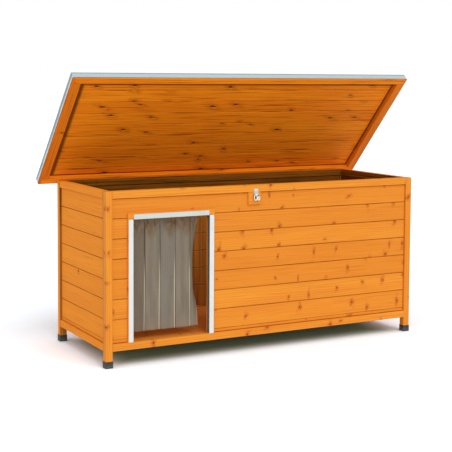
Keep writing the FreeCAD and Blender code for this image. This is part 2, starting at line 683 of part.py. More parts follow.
def drip_outline(sign):
    """Edge trim: flange over the roof sheet, wall down the edge, kicked lip. Sign is outwards."""
    sheet_thick = "sizes.roof_thick"
    low = "sizes.drip_bottom"
    knee = "(sizes.drip_bottom + sizes.drip_lip)"
    under = "(%s + %s)" % (SHEET_Z, sheet_thick)
    over = "(%s + 2 * %s)" % (SHEET_Z, sheet_thick)
    kick = "sizes.drip_kick"
    points = [("-sizes.drip_flange", under), ("0", under), ("0", knee), (kick, low),
              ("(%s + %s)" % (kick, sheet_thick), low), (sheet_thick, knee), (sheet_thick, over),
              ("-sizes.drip_flange", over)]
    if sign == "-":
        points = [("-(%s)" % u, v) for u, v in points]
    return points


def make_roof():
    """Flat roof sheet and the trims round its front and sides."""
    sheet_points = rectangle(LID_FRONT, SHEET_Z, LID_REAR, "%s + sizes.roof_thick" % SHEET_Z)
    lid_prism("roof_sheet", "YZ_Plane", sheet_points, "2 * " + LID_SIDE, "-" + LID_SIDE)
    lid_prism("roof_trim_front", "YZ_Plane", moved(drip_outline("-"), LID_FRONT, "0"),
              "2 * " + LID_SIDE, "-" + LID_SIDE)
    corner = "(%s - sizes.roof_thick)" % LID_FRONT
    for side, sign, edge in (("left", "-", "-" + LID_SIDE), ("right", "+", LID_SIDE)):
        trim = lid_prism("roof_trim_" + side, "XZ_Plane", moved(drip_outline(sign), edge, "0"),
                         "%s + sizes.roof_thick" % LID_DEEP, corner)
        inner = "%s %s sizes.drip_flange" % (edge, "+" if sign == "-" else "-")
        cut_through(trim, "XY_Plane",
                    rectangle(edge, corner, inner, "%s + sizes.drip_flange" % LID_FRONT))


# ---------------------------------------------------------------------------------------------
# Hinges behind the back wall
# ---------------------------------------------------------------------------------------------

def hinge_middles():
    """Middle of each hinge along X, as an expression."""
    count = int(number["hinge_count"])
    step = "(sizes.width - 2 * sizes.hinge_inset) / %d" % max(1, count - 1)
    return ["(%s + sizes.hinge_inset + %d * %s)" % (LEFT, i, step) for i in range(count)]


def hinge_leaf(middle, y, z, up):
    """Leaf, its tabs and its bored knuckles round an axis along X at y, z. Up: the upper leaf."""
    third = "(sizes.hinge_long / 3)"
    gap = "sizes.knuckle_gap"
    start = "%s - sizes.hinge_long / 2" % middle
    plate_y = "%s - %s" % (y, "(sizes.knuckle_clear + sizes.knuckle_round)")
    root = "(sizes.knuckle_round + sizes.knuckle_clear)"
    plate_high = "(sizes.hinge_leaf - %s)" % root
    plate_z = "%s + %s" % (z, root) if up else "%s - sizes.hinge_leaf" % z
    pieces = [box(start, plate_y, plate_z, "sizes.hinge_long", "sizes.hinge_sheet", plate_high)]
    knuckles = [(start + " + " + third, third)] if up else [
        (start, third + " - " + gap), (start + " + 2 * " + third + " + " + gap, third + " - " + gap)]
    tab_z = z if up else "%s - %s" % (z, root)
    for x, long in knuckles:
        pieces.append(box(x, plate_y, tab_z, long, "sizes.hinge_sheet", root))
        pieces.append(rod("sizes.knuckle_round", long, x, y, z))
    bore = rod("sizes.hinge_pin_round + sizes.pin_play", "sizes.hinge_long + 2", start + " - 1",
               y, z)
    return without(fused(pieces), [bore])


def make_hinges():
    """Batten on the back rail, lower leaves and pins on it, upper leaves on the lid."""
    timber("hinge_batten", "YZ_Plane", "sizes.wall_gap + sizes.lid_timber_wide",
           "sizes.hinge_batten_high", LONG_INSIDE, LEFT + " + sizes.post", BACK,
           "%s - sizes.hinge_batten_gap - sizes.hinge_batten_high" % HINGE_Z)
    lower = []
    upper = []
    for middle in hinge_middles():
        lower.append(hinge_leaf(middle, HINGE_Y, HINGE_Z, False))
        lower.append(rod("sizes.hinge_pin_round", "sizes.hinge_long",
                         "%s - sizes.hinge_long / 2" % middle, HINGE_Y, HINGE_Z))
        upper.append(hinge_leaf(middle, "0", "0", True))
    group("hinge_lower_leaves", lower)
    place_on_lid(group("hinge_upper_leaves", upper))


# ---------------------------------------------------------------------------------------------
# Build, check and write
# ---------------------------------------------------------------------------------------------

make_posts()
make_rails()
make_floor()
make_walls()
make_front_wall()
make_door_frame()
make_trims()
make_curtain()
make_latch()
make_keeper()
make_lid_frame()
make_lid_boards()
make_roof()
make_hinges()
doc.recompute()

for item in doc.Objects:
    if "Invalid" in item.State or "Error" in item.State:
        raise RuntimeError("%s (%s) did not recompute: %s" % (item.Name, item.Label, item.State))
for item in nodes:
    if item.Shape.isNull() or not item.Shape.isValid() or not item.Shape.Solids:
        raise RuntimeError("%s is not a valid solid" % item.Label)

os.makedirs("parts", exist_ok=True)
for item in nodes:
    item.Shape.exportStep("parts/%s.step" % item.Label)
print("%d nodes written" % len(nodes))
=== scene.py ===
"""Dog house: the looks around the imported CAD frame.

A boarded timber box on rubber feet, with a strip curtain in its doorway, a latch on its front and
a metal-edged lid. Everything is in metres, in the frame that the CAD sets: +X runs along the front,
+Y to the back and +Z up.
"""

import math

import bmesh
import bpy
import numpy as np
from mathutils import Matrix, Vector


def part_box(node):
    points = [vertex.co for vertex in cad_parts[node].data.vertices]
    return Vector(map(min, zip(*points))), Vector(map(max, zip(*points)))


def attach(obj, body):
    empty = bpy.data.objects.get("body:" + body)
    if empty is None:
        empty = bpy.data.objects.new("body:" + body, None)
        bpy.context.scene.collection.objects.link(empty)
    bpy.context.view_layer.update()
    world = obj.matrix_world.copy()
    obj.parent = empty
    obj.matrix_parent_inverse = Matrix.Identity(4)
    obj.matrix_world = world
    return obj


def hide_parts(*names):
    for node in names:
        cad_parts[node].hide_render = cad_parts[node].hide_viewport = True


bl_info = {
    "name": "Dog house looks",
    "version": (1, 0, 0),
    "blender": (4, 5, 0),
    "location": "3D View > Sidebar > Dog house",
    "description": "Finishes, curtain, screws and studio for the boarded dog house",
    "category": "Object",
}

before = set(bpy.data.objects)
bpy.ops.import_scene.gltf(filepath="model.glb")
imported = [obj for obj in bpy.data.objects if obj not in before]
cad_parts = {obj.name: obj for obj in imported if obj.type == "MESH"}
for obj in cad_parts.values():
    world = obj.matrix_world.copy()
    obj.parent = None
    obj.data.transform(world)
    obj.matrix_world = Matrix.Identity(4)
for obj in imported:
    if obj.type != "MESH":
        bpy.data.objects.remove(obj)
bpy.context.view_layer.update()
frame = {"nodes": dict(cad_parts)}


def middle(node):
    """Middle of a CAD node's box."""
    low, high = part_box(node)
    return (low + high) / 2


def painted(red, green, blue, alpha=1.0):
    """A colour written as 0 to 255 display values, turned into the linear values of a shader."""
    made = []
    for value in (red, green, blue):
        share = value / 255
        if share <= 0.04045:
            made.append(share / 12.92)
        else:
            made.append(((share + 0.055) / 1.055) ** 2.4)
    return (*made, alpha)


# The lid stands open at rest, turned by this angle from closed about its hinge line.
LID_OPEN = math.radians(46.6)
HINGE_LINE = Vector((0.0, 0.286954, 0.6863))

# Rows of the wall boards, upwards in z, and of the lid boards, forwards from the hinge line.
BOARD_PITCH = 0.081
BOARD_FIRST = 0.111
LID_PITCH = 0.0685
LID_FIRST = 0.004

# Inner edges of the lid's front and rear timbers in y from the hinge line, and the width of the
# shaded wood along the timbers.
LID_FRONT_EDGE = -0.609
LID_REAR_EDGE = -0.034
LID_SHADE = 0.012

# Half width of the dark line where boards meet a post or rail, a dark joint with painted shade of
# the boards' recess, and the share of a line's half width that is fully dark.
SEAM_SHADE_HALF = 0.0026
LINE_CORE = 0.4

# Shift of the grain from one row of boards to the next.
ROW_SHIFT = 3.17

# Painted shade on the inside of rails and posts starts this far under their inner faces, and turns
# to a darker painted shade between these heights, under the lid.
SKIN = 0.004
UNDER_LID = (0.48, 0.64)


# ---- Shader recipes ----

class Reading:
    """What a node's socket gives at each point. Sums on it add Math nodes."""

    def __init__(self, recipe, socket):
        self.recipe = recipe
        self.socket = socket

    def sum(self, operation, *values):
        """One Math node on this reading and the values."""
        return self.recipe.node("ShaderNodeMath", {"operation": operation},
                                dict(enumerate((self,) + values)))

    def behind(self, operation, value):
        """One Math node with the value first."""
        return self.recipe.node("ShaderNodeMath", {"operation": operation}, {0: value, 1: self})

    def __add__(self, other):
        return self.sum("ADD", other)

    def __radd__(self, other):
        return self.behind("ADD", other)

    def __sub__(self, other):
        return self.sum("SUBTRACT", other)

    def __rsub__(self, other):
        return self.behind("SUBTRACT", other)

    def __mul__(self, other):
        return self.sum("MULTIPLY", other)

    def __rmul__(self, other):
        return self.behind("MULTIPLY", other)

    def __truediv__(self, other):
        return self.sum("DIVIDE", other)

    def __rtruediv__(self, other):
        return self.behind("DIVIDE", other)

    def __abs__(self):
        return self.sum("ABSOLUTE")

    def whole(self):
        """The whole number at or below it."""
        return self.sum("FLOOR")

    def least(self, other):
        return self.sum("MINIMUM", other)

    def most(self, other):
        return self.sum("MAXIMUM", other)

    def wave(self):
        return self.sum("SINE")

    def over(self, value):
        """1 where it is larger than the value, else 0."""
        return self.sum("GREATER_THAN", value)

    def fade(self, start, end):
        """0 at start and 1 at end, with a soft S between them. start may be the larger."""
        return self.recipe.node("ShaderNodeMapRange", {"interpolation_type": "SMOOTHSTEP"},
                                {"Value": self, "From Min": start, "From Max": end})


class Recipe:
    """The nodes of one material, or of the world."""

    def __init__(self, name, world=None):
        self.material = world or bpy.data.materials.new(name)
        self.material.use_nodes = True
        self.tree = self.material.node_tree
        self.tree.nodes.clear()

    def node(self, kind, settings=None, inputs=None, output=0):
        """Adds a node: its settings first, then its sockets' values or links."""
        made = self.tree.nodes.new(kind)
        for name, value in (settings or {}).items():
            setattr(made, name, value)
        for name, value in (inputs or {}).items():
            if isinstance(value, Reading):
                self.tree.links.new(value.socket, made.inputs[name])
            else:
                made.inputs[name].default_value = value
        return Reading(self, made.outputs[output]) if made.outputs else None

    def parts(self, vector):
        """The three numbers of a vector or colour."""
        split = self.node("ShaderNodeSeparateXYZ", inputs={"Vector": vector})
        outputs = split.socket.node.outputs
        return [Reading(self, outputs[i]) for i in range(3)]

    def vector(self, x, y, z):
        return self.node("ShaderNodeCombineXYZ", inputs={"X": x, "Y": y, "Z": z})

    def mix(self, share, first, second):
        """Colour that goes from first to second as share goes from 0 to 1."""
        return self.node("ShaderNodeMix", {"data_type": "RGBA", "clamp_factor": True},
                         {0: share, 6: first, 7: second}, output=2)

    def noise(self, vector, scale=1.0, detail=2.0, roughness=0.5):
        return self.node("ShaderNodeTexNoise", inputs={
            "Vector": vector, "Scale": scale, "Detail": detail, "Roughness": roughness})

    def place(self):
        """Position in the frame, at rest."""
        return self.node("ShaderNodeTexCoord", output="Object")

    def surface(self, height, depth, strength, round_edge=None, **sockets):
        """Principled surface from its sockets, with the height as its bump."""
        bump = {"Height": height, "Distance": depth, "Strength": strength}
        if round_edge:
            bump["Normal"] = self.node("ShaderNodeBevel", {"samples": 3}, {"Radius": round_edge})
        inputs = {name.replace("_", " "): value for name, value in sockets.items()}
        inputs["Normal"] = self.node("ShaderNodeBump", inputs=bump)
        shader = self.node("ShaderNodeBsdfPrincipled", inputs=inputs)
        self.node("ShaderNodeOutputMaterial", inputs={"Surface": shader})
        return self.material


def dress(material, *nodes):
    """Gives a material to CAD nodes."""
    for name in nodes:
        for slot in frame["nodes"][name].material_slots:
            slot.material = material


# ---- Timber ----

def lid_place(recipe):
    """Position measured from the hinge line on the closed lid: the open lid turned back."""
    return recipe.node("ShaderNodeMapping", {"vector_type": "TEXTURE"}, {
        "Vector": recipe.place(), "Location": HINGE_LINE, "Rotation": (-LID_OPEN, 0, 0)})


def knot_marks(recipe, along, flat, look, spread=(1.0, 1.0)):
    """Knots as ellipses round the points of a Voronoi pattern. Returns how far each place is from
    its knot, counted in the knot's own half widths, whether there is a knot, and the height over
    its middle in metres. spread stretches the ellipse along and across the grain."""
    cell = recipe.vector(along * look.knots_along, flat * look.knots_across, 0.0)
    voronoi = recipe.node("ShaderNodeTexVoronoi", {"voronoi_dimensions": "2D"},
                          {"Vector": cell, "Scale": 1.0, "Randomness": 0.9})
    outputs = voronoi.socket.node.outputs
    picked = recipe.parts(Reading(recipe, outputs["Color"]))
    centre = recipe.parts(Reading(recipe, outputs["Position"]))
    run = along - centre[0] / look.knots_along
    rise = flat - centre[1] / look.knots_across
    leaning = rise - run * look.knot_slant
    long = (picked[1] + 0.5) * (look.knot_long * spread[0])
    high = (picked[2] + 0.5) * (look.knot_high * spread[1])
    away = recipe.node("ShaderNodeVectorMath", {"operation": "LENGTH"},
                       {0: recipe.vector(run / long, leaning / high, 0.0)}, output="Value")
    return away, picked[0].over(1 - look.knot_share), rise


def timber_finish(name, look, grain, on_lid=False, rows=None, lines=(), inside=None, seed=0.0):
    """Stained softwood.

    grain is the axis, 0 to 2, that the fibres follow. Streaks are noise drawn out along the grain,
    rings a sine of the distance across it that broad noise bends, and both curve round the knots.
    rows is (axis, first, pitch) of boards side by side: each row has its own tint and pattern and
    a dark line at its joints. lines are (axis, place, half width) of dark lines against other
    timbers: dark joints with painted shade of a recess or of a lid timber. inside is (axis, place,
    side): past that place, towards side, the wood takes painted shade.
    """
    recipe = Recipe(name)
    spot = recipe.parts(lid_place(recipe) if on_lid else recipe.place())
    along = spot[grain] + seed
    sides = [axis for axis in range(3) if axis != grain]
    flat = spot[sides[0]] + spot[sides[1]]
    joint = None
    if rows:
        axis, first, pitch = rows
        row = (spot[axis] - first) / pitch
        number = row.whole()
        share = row - number
        along = along + number * ROW_SHIFT
        edge = share.least(1.0 - share) * abs(pitch)
        joint = edge.fade(look.joint_half, look.joint_half * LINE_CORE)
        tint = recipe.node("ShaderNodeTexWhiteNoise", {"noise_dimensions": "1D"},
                           {"W": number + seed})
        broken = recipe.noise(recipe.vector(along * 9, flat * 3, seed), detail=1.0).fade(0.3, 0.65)
        joint = joint * (broken * look.broken + (1.0 - look.broken))
    # Dark joints against other timbers, with painted shade: of the boards' recess at posts and
    # rails, and of the timbers on the lid.
    for axis, place, half in lines:
        seam = abs(spot[axis] - place).fade(half, half * LINE_CORE)
        joint = seam if joint is None else joint.most(seam)

    # Knots: a ragged core, its dark heart, a stained halo, a smear across the grain and a painted
    # highlight on its upper half.
    grit = recipe.noise(recipe.vector(along * 110, flat * 260, seed), detail=2.0)
    away, there, rise = knot_marks(recipe, along, flat, look)
    away = away + (grit - 0.5) * 0.7
    core = away.fade(1.1, 0.75) * there
    heart = away.fade(0.8, 0.4) * there
    halo = away.fade(3.6, 0.9) * there
    spur = knot_marks(recipe, along, flat, look, spread=(look.spur_long, look.spur_high))[0]
    patchy = recipe.noise(recipe.vector(along * 70, flat * 60, seed + 2.0), detail=2.0)
    smear = (spur + (patchy - 0.5) * 3.4).fade(1.5, 0.0) * there
    # Painted highlight: the upper half of a knot turns to the pale stain.
    lit = core * rise.fade(0.0, 0.002) * look.knot_highlight
    bend = halo * rise / (abs(rise) + 0.004) * 0.005

    # Grain: broad bands, streaks, hairs and rings.
    broad = recipe.noise(recipe.vector(along * 1.3, flat * 16, seed), detail=2.0)
    streak = recipe.noise(recipe.vector(along * 3.2, (flat - bend) * 170, seed), detail=3.0,
                          roughness=0.65)
    hair = recipe.noise(recipe.vector(along * 5.0, (flat - bend) * 330, seed + 4.0), detail=1.0)
    rings = ((flat - bend + broad * 0.03) * (2 * math.pi * look.rings)).wave() * 0.5 + 0.5
    depth = (streak * 0.45 + broad * 0.4 + rings * 0.15).fade(0.3, 0.72)

    colour = recipe.mix(depth, tuple(look.pale), tuple(look.deep))
    if rows:
        colour = recipe.mix(tint * look.tint, colour, tuple(look.deep))
    colour = recipe.mix(hair.fade(0.57, 0.74) * look.hair, colour, tuple(look.smear))
    colour = recipe.mix(halo * look.halo, colour, tuple(look.smear))
    colour = recipe.mix(smear * look.spur, colour, tuple(look.smear))
    colour = recipe.mix(core * 0.8, colour, tuple(look.knot))
    colour = recipe.mix(heart, colour, tuple(look.heart))
    colour = recipe.mix(lit, colour, tuple(look.pale))
    # Dark joints, and the painted shade along other timbers, in the joint colour.
    if joint is not None:
        colour = recipe.mix(joint * look.joint, colour, tuple(look.shade))
    # Painted shade on the inside, past the place: streaked lower down and darker under the lid,
    # where its joints darken too.
    if inside:
        axis, place, side = inside
        painted_inside_shade = ((spot[axis] - place) * side).over(0.0)
        upper = recipe.parts(recipe.place())[2].fade(*UNDER_LID)
        upright = recipe.noise(recipe.vector(spot[0] * 150, spot[1] * 150, spot[2] * 2), detail=2.0)
        dull = recipe.mix(upright.fade(0.35, 0.65), tuple(look.painted_inside_shade), tuple(look.painted_inside_streaks))
        deep = recipe.mix(streak.fade(0.35, 0.6), tuple(look.painted_shade_under_lid_streaks), tuple(look.painted_shade_under_lid))
        dull = recipe.mix(upper, dull, deep)
        if joint is not None:
            dull = recipe.mix(joint * upper * 0.95, dull, tuple(look.heart))
        colour = recipe.mix(painted_inside_shade, colour, dull)
    height = streak * 0.3 + hair * 0.15 + rings * 0.15 - core * 0.4
    return recipe.surface(height=height, depth=0.0006, strength=0.35, round_edge=0.0012,
                          Base_Color=colour, Roughness=streak * 0.2 + 0.5,
                          Specular_IOR_Level=look.shine)


def rgba(name, description, default):
    """A colour property."""
    return bpy.props.FloatVectorProperty(name=name, description=description, subtype="COLOR",
                                         size=4, min=0.0, max=1.0, default=default)


def amount(name, description, default, low=0.0, **facts):
    """A number property."""
    return bpy.props.FloatProperty(name=name, description=description, default=default, min=low,
                                   **facts)


def factor(name, description, default):
    """A number property from 0 to 1."""
    return amount(name, description, default, max=1.0, subtype="FACTOR")


class TimberLook(bpy.types.PropertyGroup):
    """Colours and pattern of one kind of timber."""
    pale: rgba("Pale", "Stain on the pale wood", painted(230, 148, 46))
    deep: rgba("Deep", "Stain on the dark streaks", painted(214, 124, 34))
    smear: rgba("Smear", "Stain round a knot and in the dark hairs", painted(182, 88, 22))
    knot: rgba("Knot", "Knot", painted(158, 78, 18))
    heart: rgba("Heart", "Dark middle of a knot", painted(82, 38, 10))
    # The joint colour also paints the shade along posts, rails and the lid's timbers.
    shade: rgba("Joint", "Dark line in a joint", painted(120, 58, 10))
    # The four inside colours are painted shade, the last two under the lid.
    painted_inside_shade: rgba("Inside", "Wood on the inside of the walls", painted(196, 124, 44))
    painted_inside_streaks: rgba("Inside, streaks", "Upright streaks on the inside", painted(150, 90, 34))
    painted_shade_under_lid: rgba("Inside, top", "Wood on the inside of the walls under the lid",
                   painted(134, 78, 16))
    painted_shade_under_lid_streaks: rgba("Inside, top streaks", "Dark streaks under the lid", painted(84, 52, 6))
    tint: factor("Tint", "How much the boards differ", 0.5)
    halo: factor("Halo", "Strength of the stain round a knot", 0.3)
    hair: factor("Hairs", "Strength of the thin dark lines along the grain", 0.35)
    spur: factor("Spurs", "Strength of the smears across the grain", 0.7)
    spur_long: amount("Spur length", "Smear's width over its knot's", 2.5)
    spur_high: amount("Spur height", "Smear's height over its knot's", 4.2)
    # Painted highlight on the upper half of a knot.
    knot_highlight: factor("Fleck", "Strength of the pale upper half of a knot", 0.2)
    broken: factor("Broken joints", "How much the dark joints come and go", 0.4)
    shine: factor("Shine", "Specular level of the stain", 0.15)
    # Joint strength also sets how dark the painted shade along other timbers is.
    joint: factor("Joint strength", "Darkness of the joints", 0.9)
    joint_half: amount("Joint width", "Half of a dark joint line", 0.0018, unit="LENGTH")
    knots_along: amount("Knots per metre", "Knot places along a board", 7.4, 0.1)
    knots_across: amount("Knots across", "Knot places per metre across the boards", 11.0, 0.1)
    knot_share: factor("Knot share", "Places that hold a knot", 0.74)
    knot_long: amount("Knot length", "Half length of a knot", 0.0042, unit="LENGTH")
    knot_high: amount("Knot height", "Half height of a knot", 0.0042, unit="LENGTH")
    knot_slant: amount("Knot slant", "Rise of a knot along the grain", 0.2, -2.0)
    rings: amount("Rings per metre", "Growth rings", 110.0, 1.0)


def timber_kind(name, description):
    """One kind of timber as a property."""
    return bpy.props.PointerProperty(name=name, description=description, type=TimberLook)


class DogHouseTimber(bpy.types.PropertyGroup):
    """The kinds of timber."""
    front: timber_kind("Front", "Front and its frame")
    side: timber_kind("Sides", "Sides and back")
    lid: timber_kind("Lid", "Boards and long timbers of the lid")
    frame: timber_kind("Lid's sides", "Side timbers and laths of the lid")
    floor: timber_kind("Floor", "Floor boards and bearer")


KINDS = {
    "side": {"pale": painted(246, 152, 44), "deep": painted(234, 138, 34), "knot_share": 0.16,
             "spur": 0.25, "tint": 0.4, "shine": 0.06},
    "lid": {"pale": painted(252, 150, 26), "deep": painted(226, 116, 14), "tint": 0.5,
            "smear": painted(156, 70, 8), "knot": painted(110, 48, 8), "heart": painted(48, 22, 4),
            "shade": painted(92, 42, 4), "knots_along": 6.4, "knots_across": 12.0,
            "knot_share": 0.46, "knot_long": 0.0135, "knot_high": 0.0072, "knot_slant": 0.3,
            "halo": 0.3, "spur": 0.2, "spur_long": 2.4, "spur_high": 1.6, "hair": 0.9,
            "knot_highlight": 0.85, "broken": 0.75, "joint": 0.85, "joint_half": 0.0017, "shine": 0.08},
    "frame": {"pale": painted(236, 132, 26), "deep": painted(206, 104, 18), "knot_share": 0.2,
              "smear": painted(150, 66, 8), "knot": painted(110, 48, 8), "spur": 0.2, "hair": 0.7,
              "shine": 0.06},
    "floor": {"pale": painted(238, 152, 66), "deep": painted(204, 122, 48), "spur": 0.2},
}


def set_kinds(settings):
    """Side timber is plainer, the lid's underside deeper with longer knots, the floor duller."""
    for kind, values in KINDS.items():
        look = getattr(settings, kind)
        for name, value in values.items():
            setattr(look, name, value)


class DOGHOUSE_OT_timber(bpy.types.Operator):
    """Stain every timber, with its grain along its length"""
    bl_idname = "doghouse.timber"
    bl_label = "Timber"

    def execute(self, context):
        looks = context.scene.doghouse_timber
        set_kinds(looks)
        front, side = looks.front, looks.side
        front_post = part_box("post_front_left")[1]
        back_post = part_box("post_back_left")[0]
        # Painted shade of the boards' recess, as dark lines along the posts and rails.
        level_seam_shades = [(2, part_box("front_board_1")[0].z, SEAM_SHADE_HALF),
                       (2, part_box("top_rail_front")[0].z, SEAM_SHADE_HALF)]
        seam_shades = [[(0, front_post.x, SEAM_SHADE_HALF), (0, -front_post.x, SEAM_SHADE_HALF)] + level_seam_shades,
                 [(1, front_post.y, SEAM_SHADE_HALF), (1, back_post.y, SEAM_SHADE_HALF)] + level_seam_shades]

        def stain(name, look, grain, *nodes, **facts):
            dress(timber_finish(name, look, grain, **facts), *nodes)

        def stain_wall(name, look, grain, facing, seed, *nodes):
            """Boards in rows, with painted shade on the inside, past the middle of their thickness.
            """
            through = 1 - grain
            stain(name, look, grain, *nodes, rows=(2, BOARD_FIRST, BOARD_PITCH),
                  lines=seam_shades[grain], inside=(through, middle(nodes[0])[through], facing),
                  seed=seed)

        stain_wall("front_boards", front, 0, 1, 1.3,
                   *["front_board_%d" % i for i in range(1, 8)], "front_stub_boards")
        stain_wall("left_boards", side, 1, 1, 5.1, "left_boards")
        stain_wall("right_boards", side, 1, -1, 8.6, "right_boards")
        stain_wall("back_boards", side, 0, -1, 12.9, "back_boards")

        # Painted shade on the inside of the rails and posts.
        inside = {}
        for wall, look, grain, facing, seed in (
                ("front", front, 0, 1, 20.2), ("back", side, 0, -1, 23.4),
                ("left", side, 1, 1, 26.8), ("right", side, 1, -1, 28.8)):
            rail, through = "top_rail_" + wall, 1 - grain
            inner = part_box(rail)[1 if facing > 0 else 0][through]
            inside[wall] = (through, inner - facing * SKIN, facing)
            stain(wall + "_rails", look, grain, rail, "bottom_rail_" + wall,
                  inside=inside[wall], seed=seed)
        for wall, look, seed in (("front", front, 31.5), ("back", side, 33.1)):
            stain(wall + "_posts", look, 2, "post_%s_left" % wall, "post_%s_right" % wall,
                  inside=inside[wall], seed=seed)

        stain("door_head", front, 0, "door_head", "curtain_batten", seed=22.2)
        stain("hinge_batten", side, 0, "hinge_batten", seed=24.1)
        stain("door_jambs", front, 2, "door_jamb_left", "door_jamb_right", seed=34.4)
        stain("latch_block", front, 0, "latch_block", seed=35.9)
        stain("floor_boards", looks.floor, 0, "floor_boards", seed=38.3)
        stain("floor_bearer", looks.floor, 1, "floor_bearer", seed=39.3)

        # Shaded wood along the timbers, wider at the left and at the lid's front.
        lid_timber_shades = [(0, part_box("lid_timber_left")[1].x + LID_SHADE, 1.9 * LID_SHADE),
                     (0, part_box("lid_timber_right")[0].x, LID_SHADE),
                     (1, LID_FRONT_EDGE + LID_SHADE, 1.8 * LID_SHADE),
                     (1, LID_REAR_EDGE, 0.7 * LID_SHADE)]
        stain("lid_boards", looks.lid, 0, "lid_boards", on_lid=True,
              rows=(1, -LID_FIRST, -LID_PITCH), lines=lid_timber_shades, seed=41.7)
        stain("lid_long_timbers", looks.lid, 0, "lid_timber_front", "lid_timber_rear",
              on_lid=True, seed=44.4)
        stain("lid_side_timbers", looks.frame, 1, "lid_timber_left", "lid_timber_right",
              "lid_lath_left", "lid_lath_right", on_lid=True, seed=47.2)
        return {"FINISHED"}


# ---- Metal and rubber ----

class DogHouseMetal(bpy.types.PropertyGroup):
    """Colours of the metal and rubber pieces."""
    trim: rgba("Doorway trims", "Aluminium angles round the doorway", painted(214, 217, 215))
    # The trim over the door is a shaded copy of the trim colour, painted darker.
    trim_head_shade: rgba("Doorway trim on top", "Aluminium angle over the door", painted(196, 201, 194))
    # Painted shade on the trims' inner legs.
    trim_leg_shade: rgba("Trims' inner legs", "Dull inner leg of an angle", painted(104, 116, 118))
    roof_top: rgba("Roof trim, upper part", "Blue-grey sheet", painted(124, 142, 147))
    # Painted highlight on the roof trims' lower lip.
    roof_lip_highlight: rgba("Roof trim, lower part", "Paler sheet near the lip", painted(236, 242, 243))
    # The front band is painted lighter than the side bands, as painted light.
    roof_front: rgba("Roof trim, front", "Grey sheet along the front", painted(172, 186, 190))
    zinc: rgba("Latch", "Plated steel of the latch and keeper", painted(196, 194, 184))
    # Painted shade on the latch plate under the lever; the keeper is painted in it too.
    latch_shade: rgba("Latch, shaded", "Plate in the shade of the lever", painted(92, 76, 54))
    lever: rgba("Lever", "Bright bent bar of the lever", painted(222, 219, 208))
    hinge: rgba("Hinges", "Plated steel of the hinges", painted(190, 192, 192))
    rubber: rgba("Foot caps", "Rubber of the foot caps", painted(13, 17, 16))


# Dull patches and bright scratches on metal, plain steel of the screws, and dust on rubber.
METAL_DULL = painted(120, 125, 122)
METAL_BRIGHT = painted(245, 248, 248)
SCREW_STEEL = painted(215, 214, 205)
RUBBER_DUST = painted(120, 125, 118)
# Scratches per metre, across the grain and along it.
SCRATCHES_ACROSS = 220.0
SCRATCHES_ALONG = 6.0


def metal_finish(name, colour, dull, grain=None, on_lid=False, metallic=1.0, second=None, span=None,
                 cloudy=0.1):
    """Sheet metal: fine scratches drawn out along the grain, dull patches as strong as cloudy, and
    rounded edges. With a second colour, the colour turns into it over span = (axis, start, end),
    on a ragged edge. Here the second colours paint light, a highlight and shade onto parts of
    pieces."""
    recipe = Recipe(name)
    spot = recipe.parts(lid_place(recipe) if on_lid else recipe.place())
    stretch = [SCRATCHES_ACROSS] * 3
    if grain is not None:
        stretch[grain] = SCRATCHES_ALONG
    fine = recipe.noise(recipe.vector(*(s * k for s, k in zip(spot, stretch))), detail=3.0)
    cloud = recipe.noise(recipe.vector(*spot), scale=14.0, detail=3.0)
    made = colour
    if second is not None:
        axis, start, end = span
        ragged = (cloud - 0.5) * (end - start)
        made = recipe.mix((spot[axis] + ragged).fade(start, end), colour, second)
    made = recipe.mix(cloud.fade(0.4, 0.8) * cloudy, made, METAL_DULL)
    made = recipe.mix(fine.fade(0.6, 0.9) * 0.25, made, METAL_BRIGHT)
    return recipe.surface(height=fine * 0.5 + cloud, depth=0.0004, strength=0.25, round_edge=0.0006,
                          Base_Color=made, Metallic=metallic,
                          Roughness=(fine * 0.15 + cloud * 0.2 + (dull - 0.15)).most(0.1))


def rubber_finish(name, colour):
    """Moulded rubber: dark, fine-pored and dusty towards the floor."""
    recipe = Recipe(name)
    place = recipe.place()
    spot = recipe.parts(place)
    pores = recipe.noise(place, scale=900.0, detail=2.0)
    dust = recipe.noise(place, scale=60.0, detail=3.0) * spot[2].fade(0.03, 0.0)
    made = recipe.mix(dust * 0.5, colour, RUBBER_DUST)
    return recipe.surface(height=pores, depth=0.0003, strength=0.4, round_edge=0.0015,
                          Base_Color=made, Roughness=dust * 0.3 + 0.55)


# The outer leg of a doorway trim is this thick. Behind it the inner leg turns to painted shade.
TRIM_SHEET = 0.0018
# Heights above the hinge line, on the closed lid, over which a roof trim turns to its second
# colour, painted light on the front band and a painted highlight on the side lips, and heights
# over which the latch plate turns to painted shade under the lever.
FRONT_TURNS = (2, 0.031, 0.026)
SIDES_TURN = (2, 0.024, 0.006)
PLATE_SHADE_TURNS = (2, 0.668, 0.665)


